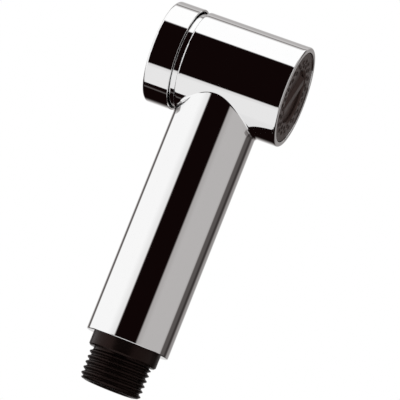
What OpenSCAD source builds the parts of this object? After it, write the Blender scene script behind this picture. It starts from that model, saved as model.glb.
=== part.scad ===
// Handheld bidet shower: a T-shaped chromed handset with a push button behind its head,
// a round spray face in front and a threaded hose connector at the foot of the handle.
// The handle stands on +Z and the head axis lies along +X. The origin is on the handle's axis,
// at the underside of the connector's collar, where the nut of the hose stops.

/* [Handle] */
// Outer radius of the handle tube
handle_r = 14; // [13.5:0.1:15]
// Wall of the handle tube
handle_wall = 3; // [2.4:0.1:3.4]
// Length from the foot of the handle to the head axis
handle_len = 93.8; // [80:0.2:120]
// Bevel round the foot of the handle
foot_bevel = 0.4; // [0.2:0.1:0.8]

/* [Head] */
// Outer radius of the head
head_r = 17; // [16.5:0.1:19]
// Wall of the head round the valve
head_wall = 3.4; // [2.8:0.1:3.8]
// Distance from the handle's front surface to the rim of the spray face
head_reach = 7.6; // [6.8:0.1:12]
// Distance that the rear shoulder stands behind the handle's surface
shoulder_proud = 0.05; // [0.05:0.05:1]
// Bevel on the rear shoulder
shoulder_bevel = 0.35; // [0.2:0.05:0.6]
// Rounding of the front rim
rim_round = 0.55; // [0.3:0.05:0.9]
// Width of the front rim, from the outside to the face bore
rim_w = 2.25; // [1.8:0.05:2.6]
// Thickness of the inner web that stops the valve body
web_t = 1.7; // [1.2:0.1:2.2]
// Width of the web's step inside the valve bore
web_step = 2.6; // [1.8:0.1:3.4]
// Distance of the web in front of the handle's bore
web_margin = 0.3; // [0.1:0.1:1]

/* [Push button] */
// Travel of the button
travel = 1.8; // [1.2:0.1:2.4]
// Gap left to the shoulder when the button is down
stop_gap = 0.25; // [0.25:0.05:0.6]
// Length of the button cap
cap_len = 8.9; // [8:0.1:11]
// How far the cap's radius stands above the head's
cap_proud = 0.25; // [0:0.05:0.6]
// Wall of the cap's skirt
cap_wall = 0.65; // [0.5:0.05:0.9]
// Thickness of the cap's end
cap_end_t = 1.6; // [1.2:0.1:2.2]
// Rounding of the cap's rear edge
cap_round = 0.8; // [0.4:0.1:1.2]
// Thickness of the button carrier's disc
carrier_t = 2.2; // [2:0.1:3]
// Length of the carrier's hub in front of the disc
hub_len = 2.8; // [2.4:0.1:3.2]
// Depth of the spindle's end in the hub
hub_grip = 2; // [1.6:0.1:2.4]

/* [Valve] */
// Radius of the spindle
spindle_r = 4; // [3.6:0.1:4.2]
// Radius of the spindle's waist
waist_r = 2.2; // [2:0.1:2.5]
// Half length of the inlet chamber round the spindle
inlet_half = 2.6; // [2.4:0.1:3]
// Depth of the inlet chamber into the bore's wall
inlet_depth = 1; // [0.6:0.1:1.4]
// Length of the bore from the inlet chamber to the outlet
seat_len = 2.7; // [2.6:0.1:3.2]
// Bevel where the bore opens into the outlet chamber
seat_bevel = 0.8; // [0.5:0.1:1]
// Wall between the outlet chamber and the front O-ring's groove
outlet_wall = 2.7; // [2:0.1:3.6]
// Radius of the port from the riser pipe to the inlet chamber
port_r = 2.2; // [1.8:0.1:2.4]
// Section radius of the valve body's O-rings
valve_ring_r = 0.9; // [0.7:0.05:1]
// Section radius of the spindle's O-rings
spindle_ring_r = 0.6; // [0.5:0.05:0.65]
// Land left beside an O-ring groove of the valve body or the spindle
ring_land = 1.7; // [1.2:0.1:1.8]
// Distance of the spindle's front O-ring inside the end of the bore
seat_lap = 0.1; // [0.05:0.05:0.2]
// Thickness of the lip behind the spindle's front O-ring
lip_t = 0.5; // [0.4:0.05:0.8]
// Length of the gland nut
gland_len = 3.9; // [3.4:0.1:4.4]
// Step from the spring's seat out to the gland nut's inner radius
gland_step = 0.35; // [0.1:0.05:1]
// Width of the gland nut's spanner slots
gland_slot_w = 3; // [2:0.1:4]
// Depth of the gland nut's spanner slots
gland_slot_t = 1.5; // [1:0.1:2]
// Thickness of the retaining clip on the spindle's nose
clip_t = 0.8; // [0.6:0.05:1]
// Width of the clip's seat on the floor of the outlet chamber
clip_lap = 1.35; // [0.8:0.05:1.8]
// Depth of the groove that holds the clip
clip_groove = 0.6; // [0.4:0.05:0.8]
// Width of the clip's mouth
clip_mouth = 3.3; // [2.8:0.1:3.8]
// Step from the spindle's waist out to its nose
nose_step = 0.4; // [0.2:0.05:0.6]
// Length of the spindle's nose in front of the clip
nose_len = 1; // [0.6:0.1:1.6]

/* [Return spring] */
// Mean radius of the coils
spring_r = 6.8; // [6.6:0.05:7]
// Wire radius
wire_r = 0.45; // [0.35:0.05:0.5]
// Depth of the spring's seat in the valve body
spring_seat = 3.6; // [3:0.1:4.2]
// Free coils between the two closed end coils
spring_coils = 4; // [3:1:5]
// Radial gap between the spring and the walls of its seat
spring_gap = 0.6; // [0.4:0.05:0.8]

/* [Spray face] */
// Distance of the spray face behind the rim
face_recess = 0.4; // [0.2:0.05:0.8]
// Thickness of the face plate
plate_t = 2; // [1.6:0.1:2.4]
// Thickness of the nozzle pad behind the plate
pad_t = 1.5; // [1.2:0.1:1.8]
// Wall of the spray face's cup
cup_wall = 1.5; // [1.2:0.1:1.7]
// Thickness of the gasket behind the cup
gasket_t = 1; // [0.8:0.1:1.4]
// Thickness of the distributor plate
distributor_t = 1.5; // [1.2:0.1:2]
// Number of nozzles in each of the two rings
nozzle_count = 20; // [12:1:24]
// Radius of a nozzle at its root
nozzle_root_r = 0.7; // [0.6:0.05:0.75]
// Radius of a nozzle at its tip
nozzle_tip_r = 0.5; // [0.4:0.05:0.55]
// Height of the nozzle tips above the face
nozzle_proud = 0.25; // [0.1:0.05:0.4]
// Radius of the spray hole in a nozzle
nozzle_hole_r = 0.25; // [0.2:0.05:0.3]
// Distance between the two nozzle rings
nozzle_pitch = 1.6; // [1.5:0.05:1.7]
// Width of the nozzle zone between the insert's pocket and the cup's wall
nozzle_zone = 3.55; // [3.5:0.05:4.2]
// Number of ports in the distributor plate
port_count = 8; // [6:1:12]
// Radius of a port in the distributor plate
plate_port_r = 1.05; // [0.8:0.05:1.2]

/* [Spray insert] */
// Depth of the insert's floor below the face
insert_depth = 1.2; // [0.9:0.1:1.5]
// Thickness of the insert's disc
insert_t = 1.1; // [0.9:0.1:1.2]
// Radius of the insert's threaded stud
stud_r = 2.5; // [2:0.1:3]
// Bevel round the insert's pocket
pocket_bevel = 0.55; // [0.3:0.05:0.7]
// Wall round the pocket behind the face plate
pocket_wall = 0.4; // [0.3:0.05:0.45]
// Width of the grip bar at its foot
bar_w = 5.4; // [4.6:0.1:6]
// Width of the grip bar at its top
bar_top_w = 2.6; // [2:0.1:3.4]
// Height of the grip bar
bar_h = 1.1; // [0.8:0.05:1.15]
// Tilt of the grip bar from the horizontal
bar_tilt = 52; // [0:1:90]

/* [Hose connector] */
// Outer radius of the hose thread
thread_r = 10.4; // [10.3:0.05:10.6]
// Length of the threaded end, up to the collar
thread_len = 11.1; // [9:0.1:13]
// Height of the bevel at the thread's start
thread_bevel_h = 1.1; // [0.8:0.1:1.6]
// Width of the bevel at the thread's start
thread_bevel_w = 1.1; // [0.8:0.1:1.3]
// Length of the thread's run-out under the collar
relief_len = 0.5; // [0.3:0.1:0.8]
// Depth of the thread
thread_depth = 0.85; // [0.7:0.05:1]
// Distance from one crest of the thread to the next
thread_pitch = 1.814; // [1.7:0.002:2]
// Width of the flat on a crest of the thread
crest_w = 0.3; // [0.2:0.05:0.4]
// Slope of the thread's flanks, from straight across the axis
flank_slope = 27.5; // [20:0.5:30]
// How far the collar stands over the handle's bore
collar_lap = 0.5; // [0.4:0.05:1]
// Height of the collar
collar_h = 4.5; // [3.5:0.1:6]
// Bevel under the collar
collar_bevel = 0.5; // [0.3:0.1:0.8]
// Radius of the water inlet
inlet_r = 7; // [6.4:0.1:7.4]
// Depth of the water inlet, up to the strainer's seat
inlet_len = 12; // [11:0.1:14]
// Thickness of the floor between the inlet and the pipe's socket
inlet_floor_t = 5.5; // [4:0.1:6.5]
// Length of the shank inside the handle
shank_len = 11.4; // [10:0.1:14]
// Section radius of the shank's O-ring
shank_ring_r = 0.9; // [0.7:0.05:1]

/* [Strainer] */
// Height of the strainer
strainer_h = 1.8; // [1.4:0.1:2.4]
// Wall of the strainer's rim
strainer_wall = 1.1; // [0.8:0.1:1.4]
// Thickness of the strainer's sieve
sieve_t = 0.7; // [0.5:0.05:0.9]
// Radius of a hole in the sieve
sieve_hole_r = 0.45; // [0.35:0.05:0.5]
// Distance between holes in the sieve
sieve_pitch = 1.45; // [1.3:0.05:1.8]

/* [Riser pipe] */
// Bore radius of the pipe
pipe_bore_r = 3.25; // [3:0.05:3.6]
// Wall of the pipe
pipe_wall = 1.25; // [1:0.05:1.5]
// Wall of the pipe's thick ends
spigot_wall = 2.25; // [1.9:0.05:2.5]
// Length of the pipe's thick ends
spigot_len = 10; // [9:0.1:14]
// Length of the pipe's top end inside the valve body
pipe_entry = 3.9; // [3.5:0.05:4.1]
// Section radius of the pipe's O-rings
pipe_ring_r = 0.65; // [0.55:0.05:0.7]
// Land left at the pipe's ends beside the O-ring grooves
pipe_land = 0.55; // [0.4:0.05:0.7]

/* [Button screw] */
// Radius of the screw
screw_r = 1.5; // [1.3:0.05:1.6]
// Length of the screw under its head
screw_len = 8.5; // [7:0.1:10]
// Radius of the screw head
screw_head_r = 2.8; // [2.6:0.05:3]
// Height of the screw head
screw_head_h = 1.3; // [1:0.05:1.4]
// Depth of the recess that takes the screw head
screw_recess = 1.6; // [1.5:0.05:1.7]
// Radial gap round the screw head
screw_gap = 0.4; // [0.2:0.05:0.6]

/* [Clearances] */
// Radial gap of a sliding or turning fit
run_gap = 0.05; // [0.02:0.01:0.08]
// Radial gap between parts that are pushed together by hand
seat_gap = 0.1; // [0.05:0.01:0.15]
// Radial gap between the cap's skirt and the neck it slides over
skirt_gap = 0.3; // [0.3:0.05:0.5]
// Side play of an O-ring in its groove
ring_play = 0.2; // [0.1:0.05:0.3]

/* [Hidden] */
$fn = 96;
arc_steps = 5;
cut_over = 1;
small_bevel = 0.2;

// Heights along the handle
end_z = -thread_len;
foot_z = collar_h;
axis_z = foot_z + handle_len;
shank_top_z = foot_z + shank_len;
inlet_top_z = end_z + inlet_len;
socket_floor_z = inlet_top_z + inlet_floor_t;

// Radii and front of the handle, the head and the cap
head_front = handle_r + head_reach;
handle_bore_r = handle_r - handle_wall;
head_bore_r = head_r - head_wall;
face_bore_r = head_r - rim_w;
cap_r = head_r + cap_proud;
cap_in_r = cap_r - cap_wall;
neck_r = cap_in_r - skirt_gap;

// Places along the head axis, from the rear of the button to the front rim
shoulder_x = -(handle_r + shoulder_proud);
cap_mouth_x = shoulder_x - stop_gap - travel;
cap_rear_x = cap_mouth_x - cap_len;
cap_end_x = cap_rear_x + cap_end_t;
carrier_x = cap_end_x + carrier_t;
hub_x = carrier_x + hub_len;
neck_x = carrier_x + travel + 2 * stop_gap;
gland_x = neck_x + small_bevel;
valve_rear_x = gland_x + gland_len;
spring_seat_x = valve_rear_x + spring_seat;
seat_x = inlet_half + seat_len;
outlet_x = seat_x + seat_bevel;
web_x = handle_bore_r + web_margin;
web_front_x = web_x + web_t;
cup_rear_x = web_front_x + gasket_t;
face_x = head_front - face_recess;
plate_x = face_x - plate_t;
pad_x = plate_x - pad_t;
distributor_x = pad_x - distributor_t;
insert_x = face_x - insert_depth;
pocket_x = insert_x - insert_t;

// Valve body, its bore and its rings
valve_r = head_bore_r - seat_gap;
guide_r = spindle_r + run_gap;
boss_r = spring_r - wire_r - spring_gap;
hub_r = boss_r - run_gap;
seat_r = spring_r + wire_r + spring_gap;
gland_in_r = seat_r + gland_step;
pipe_r = pipe_bore_r + pipe_wall;
spigot_r = pipe_bore_r + spigot_wall;
valve_groove = valve_ring_r + ring_play / 2;
valve_ring_front_x = web_x - ring_land - valve_groove;
valve_ring_rear_x = -(spigot_r + run_gap + ring_land + valve_groove);
web_hole_r = head_bore_r - web_step;
outlet_r = ring_floor(head_bore_r, valve_ring_r) - outlet_wall;

// Spindle, its rings and its clip
spindle_rear_x = hub_x - hub_grip;
spindle_groove = spindle_ring_r + ring_play / 2;
front_ring_x = seat_x - spindle_ring_r - seat_lap;
rear_ring_x = -(inlet_half + travel + ring_land + spindle_groove);
waist_rear_x = -(inlet_half + seat_bevel);
lip_r = spindle_r - spindle_ring_r - ring_play / 2;
clip_x = outlet_x + run_gap;
clip_r = guide_r + seat_bevel + clip_lap;
nose_x = clip_x + clip_t + nose_len;
nose_r = waist_r + nose_step;
clip_seat_r = nose_r - clip_groove;
recess_x = cap_end_x + screw_recess;

// Spray face, pad and distributor
cup_r = face_bore_r - seat_gap;
cup_in_r = cup_r - cup_wall;
pocket_r = cup_in_r - nozzle_zone - pocket_bevel;
insert_r = pocket_r - run_gap;
boss_face_r = pocket_r + pocket_wall;
nozzle_mid_r = (pocket_r + pocket_bevel + cup_in_r) / 2;
nozzle_rings = [nozzle_mid_r - nozzle_pitch / 2, nozzle_mid_r + nozzle_pitch / 2];

// Hose connector and riser pipe
thread_root_r = thread_r - thread_depth;
flank_h = thread_depth * tan(flank_slope);
last_crest = floor((thread_len - thread_bevel_h - relief_len - crest_w) / thread_pitch);
shank_r = handle_bore_r - run_gap;
collar_r = handle_bore_r + collar_lap;
socket_r = spigot_r + run_gap;
pipe_bottom_z = socket_floor_z + seat_gap;
pipe_top_z = axis_z - valve_r + pipe_entry;
pipe_groove = pipe_ring_r + ring_play / 2;
pipe_ring_low_z = pipe_bottom_z + pipe_land + pipe_groove;
pipe_ring_high_z = pipe_top_z - pipe_land - pipe_groove;
shank_ring_z = (foot_z + shank_top_z) / 2;

chrome = [0.82, 0.83, 0.85];
brass = [0.78, 0.63, 0.32];
steel = [0.62, 0.64, 0.67];
black_plastic = [0.09, 0.09, 0.10];
grey_plastic = [0.25, 0.24, 0.25];
white_plastic = [0.88, 0.88, 0.86];
rubber = [0.05, 0.05, 0.05];

// Points of an arc round [r, h], from one angle to another
function arc(r, h, radius, from, to) =
    [for (i = [0:arc_steps]) let (a = from + (to - from) * i / arc_steps)
        [r + radius * cos(a), h + radius * sin(a)]];

// Floor radius of the groove for an O-ring that seals against a bore
function ring_floor(bore, section) = bore - 2 * section - 2 * run_gap;

// Groove for an O-ring: its centre, the ring's section radius, the bore it seals and the surface
function notch(at, section, bore, surface) =
    let (half = section + ring_play / 2, floor_r = ring_floor(bore, section))
    [[surface, at - half], [floor_r, at - half], [floor_r, at + half], [surface, at + half]];

// Solid turned about the head axis, from points [radius, x]
module turn_x(points) {
    translate([0, 0, axis_z]) rotate([0, 90, 0]) rotate_extrude() polygon(points);
}

// Solid turned about the handle axis, from points [radius, z]
module turn_z(points) {
    rotate_extrude() polygon(points);
}

// O-ring that seals against a bore, round the head axis
module o_ring_x(at, section, bore) {
    translate([0, 0, axis_z]) rotate([0, 90, 0]) rotate_extrude()
        translate([bore - section - run_gap, at]) circle(section, $fn = 32);
}

// O-ring that seals against a bore, round the handle axis
module o_ring_z(at, section, bore) {
    rotate_extrude() translate([bore - section - run_gap, at]) circle(section, $fn = 32);
}

// Cylinder along the head axis direction, set off from that axis
module pin_x(x, length, r_start, r_end, off_r, angle) {
    translate([x, 0, axis_z]) rotate([angle, 0, 0]) translate([0, off_r, 0])
        rotate([0, 90, 0]) cylinder(h = length, r1 = r_start, r2 = r_end, $fn = 24);
}

// One chromed T: head, rear neck and handle tube, with the bores of both
module handset_housing() {
    head_outline = concat(
        [[0, neck_x], [neck_r - small_bevel, neck_x], [neck_r, neck_x + small_bevel],
         [neck_r, shoulder_x], [head_r - shoulder_bevel, shoulder_x],
         [head_r, shoulder_x + shoulder_bevel]],
        arc(head_r - rim_round, head_front - rim_round, rim_round, 0, 90),
        [[0, head_front]]);
    handle_outline = [[0, foot_z], [handle_r - foot_bevel, foot_z],
        [handle_r, foot_z + foot_bevel], [handle_r, axis_z], [0, axis_z]];
    bore_outline = [[0, neck_x - cut_over], [head_bore_r, neck_x - cut_over],
        [head_bore_r, web_x], [web_hole_r, web_x], [web_hole_r, web_front_x],
        [face_bore_r, web_front_x], [face_bore_r, head_front - small_bevel],
        [face_bore_r + small_bevel + cut_over, head_front + cut_over],
        [0, head_front + cut_over]];
    color(chrome) difference() {
        union() {
            turn_x(head_outline);
            turn_z(handle_outline);
        }
        turn_x(bore_outline);
        translate([0, 0, foot_z - cut_over])
            cylinder(h = handle_len + cut_over, r = handle_bore_r);
    }
}

// Outline of the thread's crests, each one a flat between two flanks, from the lowest up
function crests() = [for (i = [last_crest:-1:0])
    let (top = -relief_len - i * thread_pitch, bottom = top - crest_w)
    each [[thread_root_r, bottom - flank_h], [thread_r, bottom], [thread_r, top],
          [thread_root_r, top + flank_h]]];

// Black moulded end: crests of the hose thread, collar, and the shank inside the handle
module hose_connector() {
    outline = concat(
        [[inlet_r, end_z], [thread_r - thread_bevel_w, end_z],
         [thread_root_r, end_z + thread_bevel_h * (1 - thread_depth / thread_bevel_w)]],
        crests(),
        [[thread_root_r, 0],
         [collar_r - collar_bevel, 0], [collar_r, collar_bevel], [collar_r, foot_z],
         [shank_r, foot_z]],
        notch(shank_ring_z, shank_ring_r, handle_bore_r, shank_r),
        [[shank_r, shank_top_z], [socket_r, shank_top_z], [socket_r, socket_floor_z],
         [pipe_bore_r, socket_floor_z], [pipe_bore_r, inlet_top_z], [inlet_r, inlet_top_z]]);
    color(black_plastic) turn_z(outline);
}

module connector_o_ring() {
    color(rubber) o_ring_z(shank_ring_z, shank_ring_r, handle_bore_r);
}

// Round sieve at the end of the water inlet
module inlet_strainer() {
    rim_r = inlet_r - run_gap;
    sieve_r = rim_r - strainer_wall;
    low_z = inlet_top_z - strainer_h;
    rows = floor(sieve_r / sieve_pitch);
    color(white_plastic) difference() {
        turn_z([[0, low_z], [rim_r, low_z], [rim_r, inlet_top_z], [sieve_r, inlet_top_z],
                [sieve_r, low_z + sieve_t], [0, low_z + sieve_t]]);
        for (i = [-rows:rows], j = [-rows:rows]) {
            x = sieve_pitch * (i + j / 2);
            y = sieve_pitch * j * sin(60);
            if (norm([x, y]) < sieve_r - sieve_hole_r - small_bevel)
                translate([x, y, low_z - cut_over])
                    cylinder(h = sieve_t + 2 * cut_over, r = sieve_hole_r, $fn = 16);
        }
    }
}

// Pipe from the hose connector up to the valve body, with a thick end at each seal
module riser_pipe() {
    color(white_plastic) turn_z(concat(
        [[pipe_bore_r, pipe_bottom_z], [spigot_r, pipe_bottom_z]],
        notch(pipe_ring_low_z, pipe_ring_r, socket_r, spigot_r),
        [[spigot_r, pipe_bottom_z + spigot_len],
         [pipe_r, pipe_bottom_z + spigot_len + cut_over],
         [pipe_r, pipe_top_z - spigot_len - cut_over], [spigot_r, pipe_top_z - spigot_len]],
        notch(pipe_ring_high_z, pipe_ring_r, socket_r, spigot_r),
        [[spigot_r, pipe_top_z], [pipe_bore_r, pipe_top_z]]));
}

module riser_o_ring_lower() {
    color(rubber) o_ring_z(pipe_ring_low_z, pipe_ring_r, socket_r);
}

module riser_o_ring_upper() {
    color(rubber) o_ring_z(pipe_ring_high_z, pipe_ring_r, socket_r);
}

// Valve body in the head: spindle bore, inlet chamber, outlet chamber and spring seat
module valve_body() {
    socket_top_z = pipe_top_z + seat_gap;
    outline = concat(
        [[guide_r, valve_rear_x], [boss_r, valve_rear_x], [boss_r, spring_seat_x],
         [seat_r, spring_seat_x], [seat_r, valve_rear_x], [valve_r, valve_rear_x]],
        notch(valve_ring_rear_x, valve_ring_r, head_bore_r, valve_r),
        notch(valve_ring_front_x, valve_ring_r, head_bore_r, valve_r),
        [[valve_r, web_x], [outlet_r, web_x], [outlet_r, outlet_x],
         [guide_r + seat_bevel, outlet_x], [guide_r, seat_x], [guide_r, inlet_half],
         [guide_r + inlet_depth, inlet_half], [guide_r + inlet_depth, -inlet_half],
         [guide_r, -inlet_half]]);
    color(black_plastic) difference() {
        turn_x(outline);
        translate([0, 0, axis_z - head_r])
            cylinder(h = socket_top_z - axis_z + head_r, r = socket_r);
        translate([0, 0, socket_top_z - cut_over])
            cylinder(h = axis_z - socket_top_z + cut_over, r = port_r);
    }
}

module valve_o_ring_rear() {
    color(rubber) o_ring_x(valve_ring_rear_x, valve_ring_r, head_bore_r);
}

module valve_o_ring_front() {
    color(rubber) o_ring_x(valve_ring_front_x, valve_ring_r, head_bore_r);
}

// Ring screwed into the neck behind the valve body, with four spanner slots
module gland_nut() {
    gland_r = head_bore_r - run_gap;
    color(brass) difference() {
        turn_x([[gland_in_r, gland_x], [gland_r, gland_x], [gland_r, valve_rear_x],
                [gland_in_r, valve_rear_x]]);
        for (angle = [0, 90])
            translate([gland_x, 0, axis_z]) rotate([angle, 0, 0])
                cube([2 * gland_slot_t, gland_slot_w, 2 * head_r], center = true);
    }
}

// Compression spring between the valve body and the button carrier, with closed end coils
module return_spring() {
    sides = 8;
    steps = 18;
    turns = spring_coils + 2;
    rest_len = spring_seat_x - carrier_x;
    closed = 2 * wire_r + 2 * run_gap;
    open_pitch = (rest_len - 2 * run_gap - 2 * wire_r - 2 * closed) / spring_coils;
    rings = turns * steps;
    function rise(t) = t < 1 ? closed * t
        : t < turns - 1 ? closed + open_pitch * (t - 1)
        : closed + open_pitch * spring_coils + closed * (t - turns + 1);
    points = [for (i = [0:rings], k = [0:sides - 1])
        let (t = i / steps, a = 360 * t, b = 360 * k / sides, r = spring_r + wire_r * cos(b))
        [r * cos(a), r * sin(a), rise(t) + wire_r * sin(b)]];
    walls = [for (i = [0:rings - 1], k = [0:sides - 1])
        let (n = (k + 1) % sides)
        [sides * i + k, sides * (i + 1) + k, sides * (i + 1) + n, sides * i + n]];
    ends = [[for (k = [0:sides - 1]) k], [for (k = [sides - 1:-1:0]) sides * rings + k]];
    color(steel) translate([carrier_x + run_gap + wire_r, 0, axis_z]) rotate([0, 90, 0])
        polyhedron(points = points, faces = concat(walls, ends), convexity = 8);
}

// Flat rubber ring between the inner web and the spray face's cup
module face_gasket() {
    color(rubber) turn_x([[web_hole_r + small_bevel, web_front_x], [cup_r, web_front_x],
                          [cup_r, cup_rear_x], [web_hole_r + small_bevel, cup_rear_x]]);
}

// Plate that clamps the nozzle pad and leads the water to it
module distributor_plate() {
    plate_r = cup_in_r - seat_gap;
    groove_in_r = nozzle_rings[0] - nozzle_root_r / 2;
    groove_out_r = nozzle_rings[1] + nozzle_root_r / 2;
    groove_x = pad_x - distributor_t / 2;
    color(black_plastic) difference() {
        turn_x([[stud_r + run_gap, distributor_x], [plate_r, distributor_x], [plate_r, pad_x],
                [groove_out_r, pad_x], [groove_out_r, groove_x], [groove_in_r, groove_x],
                [groove_in_r, pad_x], [stud_r + run_gap, pad_x]]);
        for (i = [0:port_count - 1])
            pin_x(distributor_x - cut_over, distributor_t + 2 * cut_over,
                  plate_port_r, plate_port_r, nozzle_mid_r, 360 * i / port_count);
    }
}

// Soft ring with two staggered rings of spray nozzles
module nozzle_pad() {
    nozzle_h = plate_t + nozzle_proud;
    color(rubber) difference() {
        union() {
            turn_x([[boss_face_r + seat_gap, pad_x], [cup_in_r - seat_gap, pad_x],
                    [cup_in_r - seat_gap, plate_x], [boss_face_r + seat_gap, plate_x]]);
            for (ring = [0, 1], i = [0:nozzle_count - 1])
                pin_x(plate_x - small_bevel, nozzle_h + small_bevel, nozzle_root_r, nozzle_tip_r,
                      nozzle_rings[ring], 360 * (i + ring / 2) / nozzle_count);
        }
        for (ring = [0, 1], i = [0:nozzle_count - 1])
            pin_x(pad_x - cut_over, pad_t + nozzle_h + 2 * cut_over, nozzle_hole_r,
                  nozzle_hole_r, nozzle_rings[ring], 360 * (i + ring / 2) / nozzle_count);
    }
}

// Dark cup screwed into the head's front, with the nozzle holes and the insert's pocket
module spray_face() {
    hole_r = nozzle_root_r + seat_gap;
    color(grey_plastic) difference() {
        turn_x([[stud_r + run_gap, pad_x], [boss_face_r, pad_x], [boss_face_r, plate_x],
                [cup_in_r, plate_x], [cup_in_r, cup_rear_x], [cup_r, cup_rear_x],
                [cup_r, face_x - small_bevel], [cup_r - small_bevel, face_x],
                [pocket_r + pocket_bevel, face_x], [pocket_r, face_x - pocket_bevel],
                [pocket_r, pocket_x], [stud_r + run_gap, pocket_x]]);
        for (ring = [0, 1], i = [0:nozzle_count - 1])
            pin_x(plate_x - cut_over, plate_t + 2 * cut_over, hole_r, hole_r,
                  nozzle_rings[ring], 360 * (i + ring / 2) / nozzle_count);
    }
}

// Round insert with a slanted grip bar and a threaded stud
module spray_insert() {
    bar_r = insert_r - small_bevel;
    bar_section = [[-bar_w / 2, 0], [bar_w / 2, 0], [bar_top_w / 2, bar_h], [-bar_top_w / 2, bar_h]];
    color(grey_plastic) union() {
        turn_x([[0, distributor_x], [stud_r, distributor_x], [stud_r, pocket_x],
                [insert_r, pocket_x], [insert_r, insert_x], [0, insert_x]]);
        translate([insert_x, 0, axis_z]) rotate([bar_tilt, 0, 0]) rotate([0, 90, 0])
            intersection() {
                rotate([90, 0, 0]) linear_extrude(height = 2 * insert_r, center = true)
                    polygon(bar_section);
                cylinder(h = 2 * bar_h, r = bar_r);
            }
    }
}

// Chromed push cap, open towards the head
module button_cap() {
    edge = small_bevel / 2;
    color(chrome) turn_x(concat(
        [[0, cap_rear_x]],
        arc(cap_r - cap_round, cap_rear_x + cap_round, cap_round, -90, 0),
        [[cap_r, cap_mouth_x - edge], [cap_r - edge, cap_mouth_x], [cap_in_r, cap_mouth_x],
         [cap_in_r, cap_end_x], [0, cap_end_x]]));
}

// Disc inside the cap, with the hub that holds the spindle
module button_carrier() {
    disc_r = cap_in_r - run_gap;
    hole_r = screw_r + seat_gap;
    recess_r = screw_head_r + screw_gap;
    color(white_plastic) turn_x([[recess_r, cap_end_x], [disc_r, cap_end_x], [disc_r, carrier_x],
        [hub_r, carrier_x], [hub_r, hub_x], [guide_r, hub_x], [guide_r, spindle_rear_x],
        [hole_r, spindle_rear_x], [hole_r, recess_x], [recess_r, recess_x]]);
}

// Screw that holds the spindle in the carrier, with a hexagon socket
module button_screw() {
    head_x = recess_x - screw_head_h;
    color(steel) difference() {
        turn_x([[0, head_x], [screw_head_r - small_bevel, head_x],
                [screw_head_r, head_x + small_bevel], [screw_head_r, recess_x],
                [screw_r, recess_x], [screw_r, recess_x + screw_len], [0, recess_x + screw_len]]);
        translate([head_x - cut_over, 0, axis_z]) rotate([0, 90, 0])
            cylinder(h = cut_over + screw_head_h / 2, r = screw_r, $fn = 6);
    }
}

// Sliding spindle: two sealed lands with a waist between them, and a nose for the clip
module spindle() {
    tap_x = recess_x + screw_len + cut_over;
    ring_r = ring_floor(guide_r, spindle_ring_r);
    color(brass) turn_x(concat(
        [[0, tap_x], [screw_r + run_gap, tap_x], [screw_r + run_gap, spindle_rear_x],
         [spindle_r, spindle_rear_x]],
        notch(rear_ring_x, spindle_ring_r, guide_r, spindle_r),
        [[spindle_r, waist_rear_x], [waist_r, waist_rear_x + spindle_r - waist_r],
         [waist_r, front_ring_x - spindle_groove - lip_t], [lip_r, front_ring_x - spindle_groove - lip_t],
         [lip_r, front_ring_x - spindle_groove], [ring_r, front_ring_x - spindle_groove],
         [ring_r, front_ring_x + spindle_groove], [spindle_r, front_ring_x + spindle_groove],
         [spindle_r, outlet_x - small_bevel], [nose_r, outlet_x - small_bevel],
         [nose_r, clip_x - run_gap], [clip_seat_r, clip_x - run_gap],
         [clip_seat_r, clip_x + clip_t + run_gap], [nose_r, clip_x + clip_t + run_gap],
         [nose_r, nose_x], [0, nose_x]]));
}

module spindle_o_ring_rear() {
    color(rubber) o_ring_x(rear_ring_x, spindle_ring_r, guide_r);
}

module spindle_o_ring_front() {
    color(rubber) o_ring_x(front_ring_x, spindle_ring_r, guide_r);
}

// Open ring in the groove of the spindle's nose, which stops the spindle against the valve body
module spindle_clip() {
    clip_in_r = clip_seat_r + run_gap;
    color(steel) difference() {
        turn_x([[clip_in_r, clip_x], [clip_r, clip_x], [clip_r, clip_x + clip_t],
                [clip_in_r, clip_x + clip_t]]);
        translate([clip_x - cut_over, -clip_mouth / 2, axis_z])
            cube([clip_t + 2 * cut_over, clip_mouth, clip_r + cut_over]);
    }
}

handset_housing();
hose_connector();
connector_o_ring();
inlet_strainer();
riser_pipe();
riser_o_ring_lower();
riser_o_ring_upper();
valve_body();
valve_o_ring_rear();
valve_o_ring_front();
gland_nut();
return_spring();
face_gasket();
distributor_plate();
nozzle_pad();
spray_face();
spray_insert();
button_cap();
button_carrier();
button_screw();
spindle();
spindle_o_ring_rear();
spindle_o_ring_front();
spindle_clip();
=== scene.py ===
"""Looks of the chromed handheld bidet shower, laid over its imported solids.

Every size is in millimetres and becomes metres where a point is placed. The places are those
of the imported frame: the handle stands on +Z, the head lies along +X, and the spray face looks
along +X.
"""

import logging
import math
from collections.abc import Callable, Sequence
from dataclasses import dataclass, field
from enum import Enum

import bmesh
import bpy
from mathutils import Matrix, Vector


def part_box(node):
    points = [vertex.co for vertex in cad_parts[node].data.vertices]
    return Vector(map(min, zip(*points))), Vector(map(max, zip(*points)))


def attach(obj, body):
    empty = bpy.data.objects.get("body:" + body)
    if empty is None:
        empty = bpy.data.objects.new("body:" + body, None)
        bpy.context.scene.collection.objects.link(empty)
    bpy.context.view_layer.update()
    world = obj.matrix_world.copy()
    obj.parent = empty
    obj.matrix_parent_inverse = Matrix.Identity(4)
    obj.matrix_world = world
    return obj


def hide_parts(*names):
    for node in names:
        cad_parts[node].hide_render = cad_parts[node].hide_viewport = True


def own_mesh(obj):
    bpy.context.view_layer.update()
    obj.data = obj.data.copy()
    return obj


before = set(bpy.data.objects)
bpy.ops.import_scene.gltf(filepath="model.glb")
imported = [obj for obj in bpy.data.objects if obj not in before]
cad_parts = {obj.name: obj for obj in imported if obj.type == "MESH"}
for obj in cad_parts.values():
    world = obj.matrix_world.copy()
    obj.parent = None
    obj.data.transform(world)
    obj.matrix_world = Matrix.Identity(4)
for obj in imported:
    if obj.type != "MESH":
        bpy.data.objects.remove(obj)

LOG = logging.getLogger("handset")
MM = 0.001
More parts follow.
